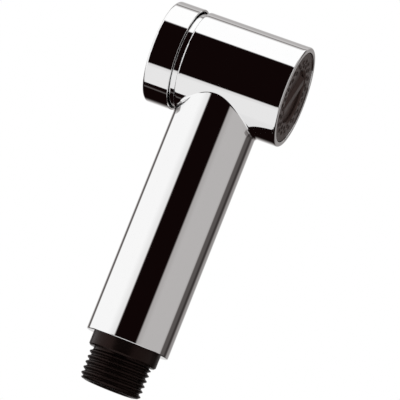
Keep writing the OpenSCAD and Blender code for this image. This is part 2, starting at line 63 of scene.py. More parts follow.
TURN = 2.0 * math.pi
CREASE = math.radians(32.0)
WHITE = (1.0, 1.0, 1.0, 1.0)
MIX_MASK, MIX_FIRST, MIX_SECOND, MIX_RESULT = 0, 6, 7, 2

Point = tuple[float, float]
Corner = tuple[float, float, float]
Colour = tuple[float, float, float]
Ring = list[bmesh.types.BMVert]


def low(node: str, axis: int) -> float:
    """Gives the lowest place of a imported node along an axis, in millimetres."""
    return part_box(node)[0][axis] / MM


def high(node: str, axis: int) -> float:
    """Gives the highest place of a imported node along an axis, in millimetres."""
    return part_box(node)[1][axis] / MM


def smooth(value: float, start: float, end: float) -> float:
    """Rises smoothly from 0 to 1 while a value goes from start to end.

    Args:
        value: The number that is looked up.
        start: Where the rise begins.
        end: Where the rise is over, above or below start.

    Returns:
        The eased share between 0 and 1.
    """
    share = min(1.0, max(0.0, (value - start) / (end - start)))
    return share * share * (3.0 - 2.0 * share)


def link_object(name: str, data: bpy.types.ID) -> bpy.types.Object:
    """Makes an object of some data and links it to the scene.

    Args:
        name: Name of the object.
        data: Its mesh, lamp or camera.

    Returns:
        The new object.
    """
    made = bpy.data.objects.new(name, data)
    bpy.context.scene.collection.objects.link(made)
    return made


HEAD_Z = (low("button_cap", 2) + high("button_cap", 2)) / 2.0


class Axis(Enum):
    """The two axes that the pieces of the handset are turned about."""

    HEAD = "head"
    HANDLE = "handle"

    def place(self, radius: float, along: float, angle: float) -> Vector:
        """Places a point given by its radius, its distance along the axis and its angle.

        Args:
            radius: Distance from the axis, in millimetres.
            along: Place along +X for the head, or along +Z for the handle.
            angle: Turn in radians, from +Y towards +Z or from +X towards +Y.

        Returns:
            The point in metres.
        """
        across, rise = radius * math.cos(angle), radius * math.sin(angle)
        if self is Axis.HEAD:
            return Vector((along, across, HEAD_Z + rise)) * MM
        return Vector((across, rise, along)) * MM


def soften(outline: Sequence[Corner], steps: int = 5) -> list[Point]:
    """Turns corners into points, with an arc at each corner that has a rounding.

    Args:
        outline: Corners as radius, place along the axis and rounding.
        steps: Straight pieces in each arc.

    Returns:
        The points as radius and place along the axis.
    """
    points: list[Point] = []
    for index, (radius, along, rounding) in enumerate(outline):
        if rounding == 0.0:
            points.append((radius, along))
            continue
        here = Vector((radius, along))
        back = (Vector(outline[index - 1][:2]) - here).normalized()
        ahead = (Vector(outline[(index + 1) % len(outline)][:2]) - here).normalized()
        half = back.angle(ahead) / 2.0
        centre = here + (back + ahead).normalized() * (rounding / math.sin(half))
        reach = rounding / math.tan(half)
        first, last = here + back * reach - centre, here + ahead * reach - centre
        start = math.atan2(first.y, first.x)
        sweep = (math.atan2(last.y, last.x) - start + math.pi) % TURN - math.pi
        for step in range(steps + 1):
            turn = start + sweep * step / steps
            points.append((centre.x + rounding * math.cos(turn),
                           centre.y + rounding * math.sin(turn)))
    return points


def divide(points: Sequence[Point], step: float) -> list[Point]:
    """Adds points so that no straight piece of an outline is longer than a step.

    Args:
        points: Points as radius and place along the axis.
        step: Longest straight piece that is left.

    Returns:
        The points with the new ones between them.
    """
    made: list[Point] = [points[0]]
    for start, end in zip(points, points[1:]):
        count = max(1, math.ceil(math.dist(start, end) / step))
        for index in range(1, count + 1):
            share = index / count
            made.append((start[0] + (end[0] - start[0]) * share,
                         start[1] + (end[1] - start[1]) * share))
    return made


class Skin:
    """A mesh in the making, built from rings of points and dressed as one piece."""

    def __init__(self, name: str) -> None:
        """Starts an empty mesh under the piece's name."""
        self.name = name
        self.bm = bmesh.new()

    def ring(self, axis: Axis, count: int, place: Callable[[float], Point]) -> Ring:
        """Adds a ring whose radius and place along the axis may change with the angle.

        Args:
            axis: Axis that the ring goes round.
            count: Points in the ring.
            place: Gives radius and place along the axis for an angle in radians.

        Returns:
            The ring's vertices in order.
        """
        made: Ring = []
        for index in range(count):
            angle = TURN * index / count
            made.append(self.bm.verts.new(axis.place(*place(angle), angle)))
        return made

    def circle(self, axis: Axis, count: int, radius: float, along: float) -> Ring:
        """Adds a plain circle about the axis, or the one point on it where the radius is 0.

        Args:
            axis: Axis that the circle goes round.
            count: Points in the circle.
            radius: Radius in millimetres.
            along: Place along the axis.

        Returns:
            The circle's vertices in order.
        """
        if radius <= 0.0:
            return [self.bm.verts.new(axis.place(0.0, along, 0.0))]
        return self.ring(axis, count, lambda angle: (radius, along))

    def pin_ring(self, radius: float, along: float, off: float, angle: float,
                 count: int) -> Ring:
        """Adds a small circle parallel to the head axis and set off from it.

        Args:
            radius: Radius of the small circle.
            along: Place along the head axis.
            off: Distance of its centre from the head axis.
            angle: Angle of its centre in radians, from +Y towards +Z.
            count: Points in the circle.

        Returns:
            The circle's vertices in order.
        """
        centre = Axis.HEAD.place(off, along, angle)
        made: Ring = []
        for index in range(count):
            turn = TURN * index / count
            offset = Vector((0.0, radius * math.cos(turn), radius * math.sin(turn)))
            made.append(self.bm.verts.new(centre + offset * MM))
        return made

    def loft(self, rings: Sequence[Ring], closed: bool = False) -> None:
        """Joins neighbouring rings by faces.

        Args:
            rings: Rings in order, running forwards on the outside of the shape.
            closed: Whether the last ring is joined to the first.
        """
        pairs = list(zip(rings, rings[1:]))
        if closed:
            pairs.append((rings[-1], rings[0]))
        for start, end in pairs:
            count = max(len(start), len(end))
            if count == 1:
                continue
            for index in range(count):
                after = (index + 1) % count
                if len(start) == 1:
                    corners = [start[0], end[after], end[index]]
                elif len(end) == 1:
                    corners = [start[index], start[after], end[0]]
                else:
                    corners = [start[index], start[after], end[after], end[index]]
                self.bm.faces.new(corners)

    def spin(self, axis: Axis, count: int, outline: Sequence[Corner], closed: bool = True,
             step: float | None = None) -> list[Ring]:
        """Turns an outline about an axis.

        Args:
            axis: Axis of the turned shape.
            count: Points round the axis.
            outline: Corners, up the outside of the shape and down its inside.
            closed: Whether the outline ends where it starts.
            step: Longest straight piece along the outline, if that is limited.

        Returns:
            The rings in the order of the outline.
        """
        points = soften(outline)
        if step is not None:
            points = divide(points, step)
        rings = [self.circle(axis, count, radius, along) for radius, along in points]
        self.loft(rings, closed)
        return rings

    def strip(self, rows: Sequence[Ring]) -> None:
        """Joins neighbouring open rows by faces.

        Args:
            rows: Rows of equal length, in order.
        """
        for start, end in zip(rows, rows[1:]):
            for index in range(len(start) - 1):
                self.bm.faces.new([start[index], start[index + 1],
                                   end[index + 1], end[index]])

    def fill(self, loops: Sequence[Ring]) -> None:
        """Fills the flat sheet between closed loops, leaving the inner ones open.

        Args:
            loops: The sheet's outer loop and the loops of its holes.
        """
        edges: list[bmesh.types.BMEdge] = []
        for loop in loops:
            for start, end in zip(loop, loop[1:] + loop[:1]):
                edge = self.bm.edges.get((start, end))
                edges.append(edge or self.bm.edges.new((start, end)))
        bmesh.ops.triangle_fill(self.bm, use_beauty=True, edges=edges)

    def settle(self) -> bpy.types.Object:
        """Turns the mesh into an object of the scene.

        Returns:
            The new object.
        """
        mesh = bpy.data.meshes.new(self.name)
        self.bm.to_mesh(mesh)
        self.bm.free()
        return link_object(self.name, mesh)

    def piece(self, body: str, finish: "Finish", node: str,
              turned_out: bool = False) -> bpy.types.Object:
        """Makes the object, lets it ride, and dresses it.

        Args:
            body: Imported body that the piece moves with.
            finish: Finish that it wears.
            node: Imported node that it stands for.
            turned_out: Whether the faces of a closed shape are turned outwards first.

        Returns:
            The new object.
        """
        if turned_out:
            bmesh.ops.recalc_face_normals(self.bm, faces=self.bm.faces)
        made = self.settle()
        made.data.shade_smooth()
        made.data.set_sharp_from_angle(angle=CREASE)
        weights = made.modifiers.new("even_normals", "WEIGHTED_NORMAL")
        weights.keep_sharp = True
        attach(made, body)
        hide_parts(node)
        finish.dress(made)
        LOG.info("%s: %d faces on %s, for %s", self.name, len(made.data.polygons), body,
                 node)
        return made


class Board:
    """A node tree with short calls to add nodes and join them."""

    def __init__(self, tree: bpy.types.NodeTree) -> None:
        """Empties the tree and keeps it."""
        self.tree = tree
        tree.nodes.clear()

    def add(self, kind: str, values: dict[str, object] | None = None,
            **settings: object) -> bpy.types.Node:
        """Adds a node, sets its properties, and sets or joins its inputs.

        Args:
            kind: Blender's name of the node's type, without the shared prefix.
            values: Inputs by name; a socket is joined, anything else is a set value.
            settings: Properties of the node.

        Returns:
            The new node.
        """
        node = self.tree.nodes.new("ShaderNode" + kind)
        for key, value in settings.items():
            setattr(node, key, value)
        for key, value in (values or {}).items():
            self.put(node.inputs[key], value)
        return node

    def put(self, target: bpy.types.NodeSocket, value: object) -> None:
        """Joins a socket to an input, or sets the input's own value.

        Args:
            target: Input that gets the value.
            value: Output socket, or a number or colour.
        """
        if isinstance(value, bpy.types.NodeSocket):
            self.tree.links.new(value, target)
        else:
            target.default_value = value

    def show(self, light: bpy.types.NodeSocket, output: str = "OutputMaterial") -> None:
        """Joins the finished shader to the tree's output."""
        self.put(self.add(output).inputs["Surface"], light)

    def blend(self, mask: object, first: object, second: Colour) -> bpy.types.NodeSocket:
        """Mixes two colours by a mask.

        Args:
            mask: Socket or number from 0 to 1.
            first: Colour or socket where the mask is 0.
            second: Colour where the mask is 1.

        Returns:
            The socket of the mixed colour.
        """
        node = self.add("Mix", data_type="RGBA")
        start = (*first, 1.0) if isinstance(first, tuple) else first
        self.put(node.inputs[MIX_MASK], mask)
        self.put(node.inputs[MIX_FIRST], start)
        self.put(node.inputs[MIX_SECOND], (*second, 1.0))
        return node.outputs[MIX_RESULT]

    def reckon(self, operation: str, *terms: object,
               clamped: bool = False) -> bpy.types.NodeSocket:
        """Works out a value from sockets and numbers.

        Args:
            operation: Blender's name of the sum.
            terms: Sockets or numbers, in the order of the node's inputs.
            clamped: Whether the result is held between 0 and 1.

        Returns:
            The socket of the result.
        """
        node = self.add("Math", operation=operation, use_clamp=clamped)
        for target, value in zip(node.inputs, terms):
            self.put(target, value)
        return node.outputs[0]

    def texture(self, kind: str, values: dict[str, object],
                **settings: object) -> bpy.types.Node:
        """Adds a texture that lies in the object's own coordinates.

        Args:
            kind: Kind of the texture's node.
            values: Its inputs by name.
            settings: Properties of the node.

        Returns:
            The texture's node.
        """
        where = self.add("TexCoord").outputs["Object"]
        return self.add("Tex" + kind, {"Vector": where, **values}, **settings)

    def span(self, value: bpy.types.NodeSocket, low_end: float,
             high_end: float) -> bpy.types.NodeSocket:
        """Maps a value of 0 to 1 onto a range.

        Args:
            value: Socket with the value.
            low_end: Result for 0.
            high_end: Result for 1.

        Returns:
            The socket of the mapped value.
        """
        node = self.add("MapRange", {"Value": value, "To Min": low_end, "To Max": high_end})
        return node.outputs[0]


class Effect(Enum):
    """Surface effects shared by several finishes, each one a node group."""

    MOTTLE = "surface_mottle"
    GRAIN = "moulded_grain"
    EDGES = "edge_wear_and_highlight"
    TURNING = "turning_marks"

    def tree(self) -> bpy.types.NodeTree:
        """Gives the effect's node group, made at its first use."""
        return bpy.data.node_groups.get(self.value) or EFFECT_MAKERS[self](self.value)

    def place(self, board: Board, **values: object) -> bpy.types.NodeSocket:
        """Places the effect in a material with its own values.

        Args:
            board: Material's node tree.
            values: Inputs of the group by name, with _ for a space.

        Returns:
            The group's only output.
        """
        node = board.add("Group", node_tree=self.tree())
        for key, value in values.items():
            board.put(node.inputs[key.replace("_", " ")], value)
        return node.outputs[0]


def new_group(name: str, output: str, **inputs: float) -> tuple[Board, bpy.types.Node]:
    """Starts a node group with number inputs and one number output.

    Args:
        name: Name of the group.
        output: Name of its output.
        inputs: Names and first values of its inputs, with _ for a space.

    Returns:
        The group's board and its input node.
    """
    tree = bpy.data.node_groups.new(name, "ShaderNodeTree")
    board = Board(tree)
    for key, value in inputs.items():
        socket = tree.interface.new_socket(key.replace("_", " "), in_out="INPUT",
                                           socket_type="NodeSocketFloat")
        socket.default_value = value
    tree.interface.new_socket(output, in_out="OUTPUT", socket_type="NodeSocketFloat")
    return board, tree.nodes.new("NodeGroupInput")


def end_group(board: Board, value: bpy.types.NodeSocket) -> bpy.types.NodeTree:
    """Joins the result of a group to its output.

    Args:
        board: The group's board.
        value: Socket with the result.

    Returns:
        The finished group.
    """
    out = board.tree.nodes.new("NodeGroupOutput")
    board.tree.links.new(value, out.inputs[0])
    return board.tree


def make_mottle(name: str) -> bpy.types.NodeTree:
    """Makes the slow uneven patches that any real surface has.

    Args:
        name: Name of the group.

    Returns:
        The group, with a mask from 0 to 1.
    """
    board, given = new_group(name, "Mask", Scale=60.0, Contrast=1.0)
    noise = board.texture("Noise", {"Scale": given.outputs["Scale"],
                                    "Detail": 4.0, "Roughness": 0.6})
    middle = 0.5
    centred = board.reckon("SUBTRACT", noise.outputs[0], middle)
    return end_group(board, board.reckon(
        "MULTIPLY_ADD", centred, given.outputs["Contrast"], middle, clamped=True))


def make_grain(name: str) -> bpy.types.NodeTree:
    """Makes the fine pebbled grain that a spark-eroded mould leaves.

    Args:
        name: Name of the group.

    Returns:
        The group, with a height from 0 to 1.
    """
    board, given = new_group(name, "Height", Scale=3000.0, Depth=1.0)
    scale, cell_share = given.outputs["Scale"], 0.6
    cells = board.texture("Voronoi", {"Scale": scale}, feature="SMOOTH_F1")
    noise = board.texture("Noise", {"Scale": scale, "Detail": 2.0})
    both = board.reckon("MULTIPLY_ADD", cells.outputs["Distance"], cell_share,
                        noise.outputs[0])
    return end_group(board, board.reckon("MULTIPLY", both, given.outputs["Depth"]))


def make_worn_and_highlit_edges(name: str) -> bpy.types.NodeTree:
    """Makes the mask of the outer edges and crests, broken up a little, that are lightened
    partly as rubbed wear and partly as a painted highlight.

    Args:
        name: Name of the group.

    Returns:
        The group, with a mask from 0 to 1.
    """
    board, given = new_group(name, "Mask", Start=0.52, End=0.62, Amount=0.5)
    noise = board.texture("Noise", {"Scale": 700.0, "Detail": 3.0})
    ridge = board.add("MapRange", {
        "Value": board.add("NewGeometry").outputs["Pointiness"],
        "From Min": given.outputs["Start"], "From Max": given.outputs["End"]})
    broken = board.reckon("MULTIPLY", ridge.outputs[0], noise.outputs[0])
    return end_group(board, board.reckon(
        "MULTIPLY", broken, given.outputs["Amount"], clamped=True))


def make_turning(name: str) -> bpy.types.NodeTree:
    """Makes the fine rings that a cutting tool leaves about the head axis.

    Args:
        name: Name of the group.

    Returns:
        The group, with a height from 0 to 1.
    """
    board, given = new_group(name, "Height", Pitch=9000.0, Waver=0.6)
    wave = board.texture("Wave", {"Scale": given.outputs["Pitch"],
                                  "Distortion": given.outputs["Waver"], "Detail": 2.0},
                         bands_direction="X")
    return end_group(board, wave.outputs["Fac"])


EFFECT_MAKERS: dict[Effect, Callable[[str], bpy.types.NodeTree]] = {
    Effect.MOTTLE: make_mottle,
    Effect.GRAIN: make_grain,
    Effect.EDGES: make_worn_and_highlit_edges,
    Effect.TURNING: make_turning,
}


def new_material(name: str) -> tuple[bpy.types.Material, Board]:
    """Makes a material with an empty node tree.

    Args:
        name: Name of the material.

    Returns:
        The material and the board of its tree.
    """
    made = bpy.data.materials.new(name)
    made.use_nodes = True
    return made, Board(made.node_tree)


@dataclass(frozen=True)
class Finish:
    """A finish of the record, with the material that shows it."""

    slot: str
    main: Colour
    second: Colour

    def material(self) -> bpy.types.Material:
        """Gives the finish's material, made at its first use.

        Returns:
            The material.
        """
        name = self.slot + "_finish"
        found = bpy.data.materials.get(name)
        if found is None:
            found, board = new_material(name)
            shader = board.add("BsdfPrincipled")
            board.show(shader.outputs[0])
            self.shade(board, shader)
        return found

    def shade(self, board: Board, shader: bpy.types.Node) -> None:
        """Sets the shader of the finish; each kind of finish has its own."""
        raise NotImplementedError

    def bump(self, board: Board, shader: bpy.types.Node, height: bpy.types.NodeSocket,
             depth: float) -> None:
        """Raises the surface by a height.

        Args:
            board: Material's node tree.
            shader: Shader that gets the normal.
            height: Socket with the height from 0 to 1.
            depth: Full height in millimetres.
        """
        bump = board.add("Bump", {"Height": height, "Distance": depth * MM,
                                  "Strength": 1.0})
        board.put(shader.inputs["Normal"], bump.outputs[0])

    def dress(self, target: bpy.types.Object) -> None:
        """Puts the finish on an object in place of what it wore."""
        target.data.materials.clear()
        target.data.materials.append(self.material())


@dataclass(frozen=True)
class Plating(Finish):
    """Bright chrome plating: a mirror with a trace of haze and of polishing ripple."""

    clearest: float = 0.018
    haziest: float = 0.05
    ripple: float = 0.0012

    def shade(self, board: Board, shader: bpy.types.Node) -> None:
        """Sets the mirror, its haze and its ripple.

        Args:
            board: Material's node tree.
            shader: Shader that is set.
        """
        cast = Effect.MOTTLE.place(board, Scale=35.0, Contrast=1.6)
        haze = Effect.MOTTLE.place(board, Scale=260.0, Contrast=2.2)
        ripple = Effect.MOTTLE.place(board, Scale=150.0, Contrast=1.0)
        board.put(shader.inputs["Base Color"], board.blend(cast, self.main, self.second))
        board.put(shader.inputs["Roughness"], board.span(haze, self.clearest, self.haziest))
        shader.inputs["Metallic"].default_value = 1.0
        self.bump(board, shader, ripple, self.ripple)


@dataclass(frozen=True)
class Moulded(Finish):
    """Moulded plastic: matt to satin, pebbled, and lighter on its edges, partly rubbed wear and
    partly a painted highlight.
    """

    rubbed_and_highlight: Colour = (0.2, 0.2, 0.2)
    smoothest: float = 0.34
    roughest: float = 0.5
    grain: float = 2600.0
    depth: float = 0.018
    wear_and_highlight: float = 0.5
    sheen: float = 0.5
    gloss_tint: Colour = (1.0, 1.0, 1.0)

    def shade(self, board: Board, shader: bpy.types.Node) -> None:
        """Sets the plastic's colour, its grain and its lighter edges, partly rubbed wear and
        partly painted highlight.

        Args:
            board: Material's node tree.
            shader: Shader that is set.
        """
        patches = Effect.MOTTLE.place(board, Scale=160.0, Contrast=1.8)
        # Edges and thread crests are made lighter in colour: partly rubbed wear, partly a
        # painted highlight.
        edges = Effect.EDGES.place(board, Start=0.53, End=0.66, Amount=self.wear_and_highlight)
        pebbles = Effect.GRAIN.place(board, Scale=self.grain, Depth=1.0)
        base = board.blend(patches, self.main, self.second)
        board.put(shader.inputs["Base Color"], board.blend(edges, base, self.rubbed_and_highlight))
        board.put(shader.inputs["Roughness"],
                  board.span(patches, self.smoothest, self.roughest))
        shader.inputs["Specular IOR Level"].default_value = self.sheen
        shader.inputs["Specular Tint"].default_value = (*self.gloss_tint, 1.0)
        self.bump(board, shader, pebbles, self.depth)


@dataclass(frozen=True)
class Rubber(Finish):
    """Moulded rubber: dull, with a bloom of paler patches."""

    dullest: float = 0.62
    bloom_span: float = 0.12
    depth: float = 0.008

    def shade(self, board: Board, shader: bpy.types.Node) -> None:
        """Sets the rubber's colour, bloom and fine grain.

        Args:
            board: Material's node tree.
            shader: Shader that is set.
        """
        bloom = Effect.MOTTLE.place(board, Scale=220.0, Contrast=2.0)
        pebbles = Effect.GRAIN.place(board, Scale=4200.0, Depth=1.0)
        board.put(shader.inputs["Base Color"], board.blend(bloom, self.main, self.second))
        board.put(shader.inputs["Roughness"],
                  board.span(bloom, self.dullest - self.bloom_span, self.dullest))
        self.bump(board, shader, pebbles, self.depth)


@dataclass(frozen=True)
class Turned(Finish):
    """Turned metal: tool rings, a slight tarnish and bright edges."""

    bright: Colour = (0.9, 0.9, 0.9)
    smoothest: float = 0.2
    roughest: float = 0.38
    pitch: float = 5200.0
    ring_depth: float = 0.003

    def shade(self, board: Board, shader: bpy.types.Node) -> None:
        """Sets the metal's colour, tarnish and tool rings.

        Args:
            board: Material's node tree.
            shader: Shader that is set.
        """
        tarnish = Effect.MOTTLE.place(board, Scale=190.0, Contrast=2.4)
        edges = Effect.EDGES.place(board, Start=0.52, End=0.6, Amount=0.8)
        rings = Effect.TURNING.place(board, Pitch=self.pitch, Waver=0.8)
        base = board.blend(tarnish, self.main, self.second)
        board.put(shader.inputs["Base Color"], board.blend(edges, base, self.bright))
        board.put(shader.inputs["Roughness"],
                  board.span(tarnish, self.smoothest, self.roughest))
        shader.inputs["Metallic"].default_value = 1.0
        self.bump(board, shader, rings, self.ring_depth)


FINISHES: dict[str, Finish] = {made.slot: made for made in (
    Plating("chrome_plate", (0.95, 0.95, 0.95), (0.925, 0.928, 0.932)),
    # The rubbed edge colours below are partly wear and partly a painted highlight on edges and
    # thread crests.
    Moulded("black_plastic", (0.0068, 0.0038, 0.0034), (0.0105, 0.0068, 0.006),
            rubbed_and_highlight=(0.03, 0.026, 0.025), smoothest=0.22, roughest=0.34, depth=0.006,
            sheen=0.2, gloss_tint=(1.0, 0.62, 0.56)),
    Moulded("grey_plastic", (0.056, 0.036, 0.031), (0.07, 0.047, 0.041),
            rubbed_and_highlight=(0.12, 0.092, 0.085), smoothest=0.3, roughest=0.42, depth=0.008,
            sheen=0.34, gloss_tint=(1.0, 0.68, 0.62)),
    Moulded("white_plastic", (0.74, 0.735, 0.71), (0.68, 0.675, 0.65),
            rubbed_and_highlight=(0.8, 0.8, 0.78), smoothest=0.3, roughest=0.42, depth=0.006),
    Turned("turned_brass", (0.78, 0.57, 0.26), (0.62, 0.43, 0.18),
           bright=(0.93, 0.76, 0.42)),
    Turned("spring_steel", (0.58, 0.58, 0.57), (0.44, 0.44, 0.43),
           bright=(0.8, 0.8, 0.79), smoothest=0.16, roughest=0.3, pitch=7000.0),
    Rubber("seal_rubber", (0.014, 0.014, 0.014), (0.03, 0.029, 0.028)),
    Rubber("nozzle_rubber", (0.066, 0.044, 0.039), (0.084, 0.06, 0.054), dullest=0.6),
)}


@dataclass
class Housing:
    """The chromed T: head with its neck and face bore, handle tube, and the joint of both."""

    head_r: float = 17.0
    handle_r: float = 14.0
    handle_bore_r: float = 11.0
    head_bore_r: float = 13.6
    neck_r: float = 15.9
    face_bore_r: float = 15.35
    web_hole_r: float = 11.0
    web_x: float = 11.3
    web_front_x: float = 13.0
    shoulder_proud: float = 0.05
    neck_bevel: float = 0.2
    shoulder_round: float = 0.5
    rim_round: float = 0.55
    rim_edge: float = 0.2
    foot_bevel: float = 0.4
    foot_bore_round: float = 0.15
    fillet: float = 0.9
    fillet_least: float = 0.01
    fillet_end: float = math.radians(159.0)
    fillet_fade: float = math.radians(11.0)
    fillet_steps: int = 10
    hidden: float = 0.9
    wall_slack: float = 0.05
    face_step: float = 0.6
    points: int = 256
    node: str = "handset_housing"

    @property
    def shoulder_x(self) -> float:
        """Place of the shoulder behind the head."""
        return -(self.handle_r + self.shoulder_proud)

    @property
    def wall_r(self) -> float:
        """Radius in the middle of the handle's wall."""
        return (self.handle_r + self.handle_bore_r) / 2.0

    def head_outline(self) -> list[Corner]:
        """Gives the outline of the head, from the neck's bore round to it again.

        Returns:
            The corners as radius, place along the head and rounding.
        """
        neck_x, rim_x = low(self.node, 0), high(self.node, 0)
        return [
            (self.head_bore_r, neck_x, 0.0),
            (self.neck_r, neck_x, self.neck_bevel),
            (self.neck_r, self.shoulder_x, 0.0),
            (self.head_r, self.shoulder_x, self.shoulder_round),
            (self.head_r, rim_x, self.rim_round),
            (self.face_bore_r, rim_x, self.rim_edge),
            (self.face_bore_r, self.web_front_x, 0.0),
            (self.web_hole_r, self.web_front_x, 0.0),
            (self.web_hole_r, self.web_x, 0.0),
            (self.head_bore_r, self.web_x, 0.0),
        ]

    def build_head(self, skin: Skin) -> None:
        """Turns the head and opens its underside into the handle.

        Args:
            skin: Mesh that gets the head.
        """
        skin.spin(Axis.HEAD, self.points, self.head_outline(), step=self.face_step)
        walls = (self.head_r, self.head_bore_r)
        opened = []
        for face in skin.bm.faces:
            x, y, z = face.calc_center_median() / MM
            radius = math.hypot(y, z - HEAD_Z)
            inside = z < HEAD_Z and math.hypot(x, y) < self.wall_r
            if inside and min(abs(radius - wall) for wall in walls) < self.wall_slack:
                opened.append(face)
        bmesh.ops.delete(skin.bm, geom=opened, context="FACES")

    @staticmethod
    def tube_top(tube_r: float, reach: float) -> Callable[[float], Point]:
        """Gives the upper edge of a tube that ends on a cylinder about the head axis.

        Args:
            tube_r: Radius of the tube.
            reach: Radius of the cylinder.

        Returns:
            What turns an angle in radians into the edge's radius and height.
        """
        return lambda angle: (
            tube_r, HEAD_Z - math.sqrt(reach ** 2 - (tube_r * math.sin(angle)) ** 2))

    def build_handle(self, skin: Skin) -> None:
        """Builds the handle tube up to the head's outer surface and up to its bore.

        Args:
            skin: Mesh that gets the tube.
        """
        foot = low(self.node, 2)
        points = soften([
            (self.handle_bore_r, foot, self.foot_bore_round),
            (self.handle_r, foot, self.foot_bevel),
            (self.handle_r, HEAD_Z, 0.0),
            (self.handle_bore_r, HEAD_Z, 0.0),
        ])[:-2]
        edges = [skin.circle(Axis.HANDLE, self.points, *point) for point in points]
        outer = skin.ring(Axis.HANDLE, self.points,
                          self.tube_top(self.handle_r, self.head_r - self.hidden))
        inner = skin.ring(Axis.HANDLE, self.points,
                          self.tube_top(self.handle_bore_r, self.head_bore_r))
        skin.loft([inner, *edges, outer])

    def build_fillet(self, skin: Skin) -> None:
        """Rounds the inner corner between handle and head, out to the rear shoulder.

        Args:
            skin: Mesh that gets the fillet.
        """
        half = self.points // 2
        rows: list[Ring] = [[] for _ in range(self.fillet_steps + 1)]
        for index in range(-half, half + 1):
            angle = self.fillet_end * index / half
            grown = smooth(self.fillet_end - abs(angle), 0.0, self.fillet_fade)
            size = self.fillet * grown + self.fillet_least
            out_r, ball = self.handle_r + size, self.head_r + size
            centre = Vector((out_r * math.cos(angle), out_r * math.sin(angle), 0.0))
            centre.z = HEAD_Z - math.sqrt(ball ** 2 - centre.y ** 2)
            first = Vector((-math.cos(angle), -math.sin(angle), 0.0))
            last = Vector((0.0, -centre.y, HEAD_Z - centre.z)).normalized()
            for step, row in enumerate(rows):
                turned = first.slerp(last, step / self.fillet_steps)
                row.append(skin.bm.verts.new((centre + turned * size) * MM))
        skin.strip(rows)

    def build(self) -> bpy.types.Object:
        """Builds the housing.

        Returns:
            Its object.
        """
        skin = Skin("housing_shell")
        self.build_head(skin)
        self.build_handle(skin)
        self.build_fillet(skin)
        return skin.piece("root", FINISHES["chrome_plate"], self.node)


@dataclass
class PushCap:
    """The chromed cap that is pushed to let the water through."""

    outer_r: float = 17.25
    inner_r: float = 16.6
    end_t: float = 1.6
    rear_round: float = 0.8
    mouth_round: float = 0.12
    inner_round: float = 0.4
    points: int = 256
    node: str = "button_cap"

    def build(self) -> bpy.types.Object:
        """Builds the cap.

        Returns:
            Its object.
        """
        rear, mouth = low(self.node, 0), high(self.node, 0)
        skin = Skin("cap_shell")
        skin.spin(Axis.HEAD, self.points, [
            (0.0, rear, 0.0),
            (self.outer_r, rear, self.rear_round),
            (self.outer_r, mouth, self.mouth_round),
            (self.inner_r, mouth, self.mouth_round),
            (self.inner_r, rear + self.end_t, self.inner_round),
            (0.0, rear + self.end_t, 0.0),
        ], closed=False)
        return skin.piece("button", FINISHES["chrome_plate"], self.node)


@dataclass
class HoseThread:
    """The thread that takes the nut of the hose, as one right-hand helix."""

    pitch: float = 1.814
    crest_r: float = 10.4
    depth: float = 0.85
    first_crest: float = -0.9
    first_angle: float = math.radians(14.9)
    bevel: float = 1.1
    nose: float = 0.35
    run_out_start: float = -0.4
    run_out_end: float = -0.95
    root_share: float = 0.92
    crest_share: float = 0.1
    flank_share: float = 0.8
    curved: float = 0.6
    steps: int = 20

    @property
    def root_r(self) -> float:
        """Radius at the bottom of the thread."""
        return self.crest_r - self.depth

    def radius(self, along: float, angle: float, end: float) -> float:
        """Gives the thread's surface at a height and an angle.

        Args:
            along: Height in millimetres.
            angle: Angle in radians.
            end: Height of the connector's end face.

        Returns:
            The radius in millimetres.
        """
        turns = (along - self.first_crest) / self.pitch - (angle - self.first_angle) / TURN
        away = abs((turns + 0.5) % 1.0 - 0.5) * 2.0
        straight = min(1.0, max(0.0, (self.root_share - away) / self.flank_share))
        ridge = smooth(away, self.root_share, self.crest_share) * self.curved
        ridge += straight * (1.0 - self.curved)
        ridge *= smooth(along, self.run_out_start, self.run_out_end)
        return min(self.root_r + self.depth * ridge,
                   self.crest_r - self.bevel + (along - end))

    def rings(self, skin: Skin, count: int, end: float) -> list[Ring]:
        """Adds the rings of the thread, from the end face up to the collar.

        Args:
            skin: Mesh that gets the rings.
            count: Points in each ring.
            end: Height of the connector's end face.

        Returns:
            The rings from below.
        """
        rows = math.ceil(-end / self.pitch * self.steps)
        start = end + self.nose
        heights = [start * (1.0 - row / rows) for row in range(rows + 1)]
        return [skin.ring(Axis.HANDLE, count,
                          lambda angle, height=height: (
                              self.radius(height, angle, end), height))
                for height in heights]


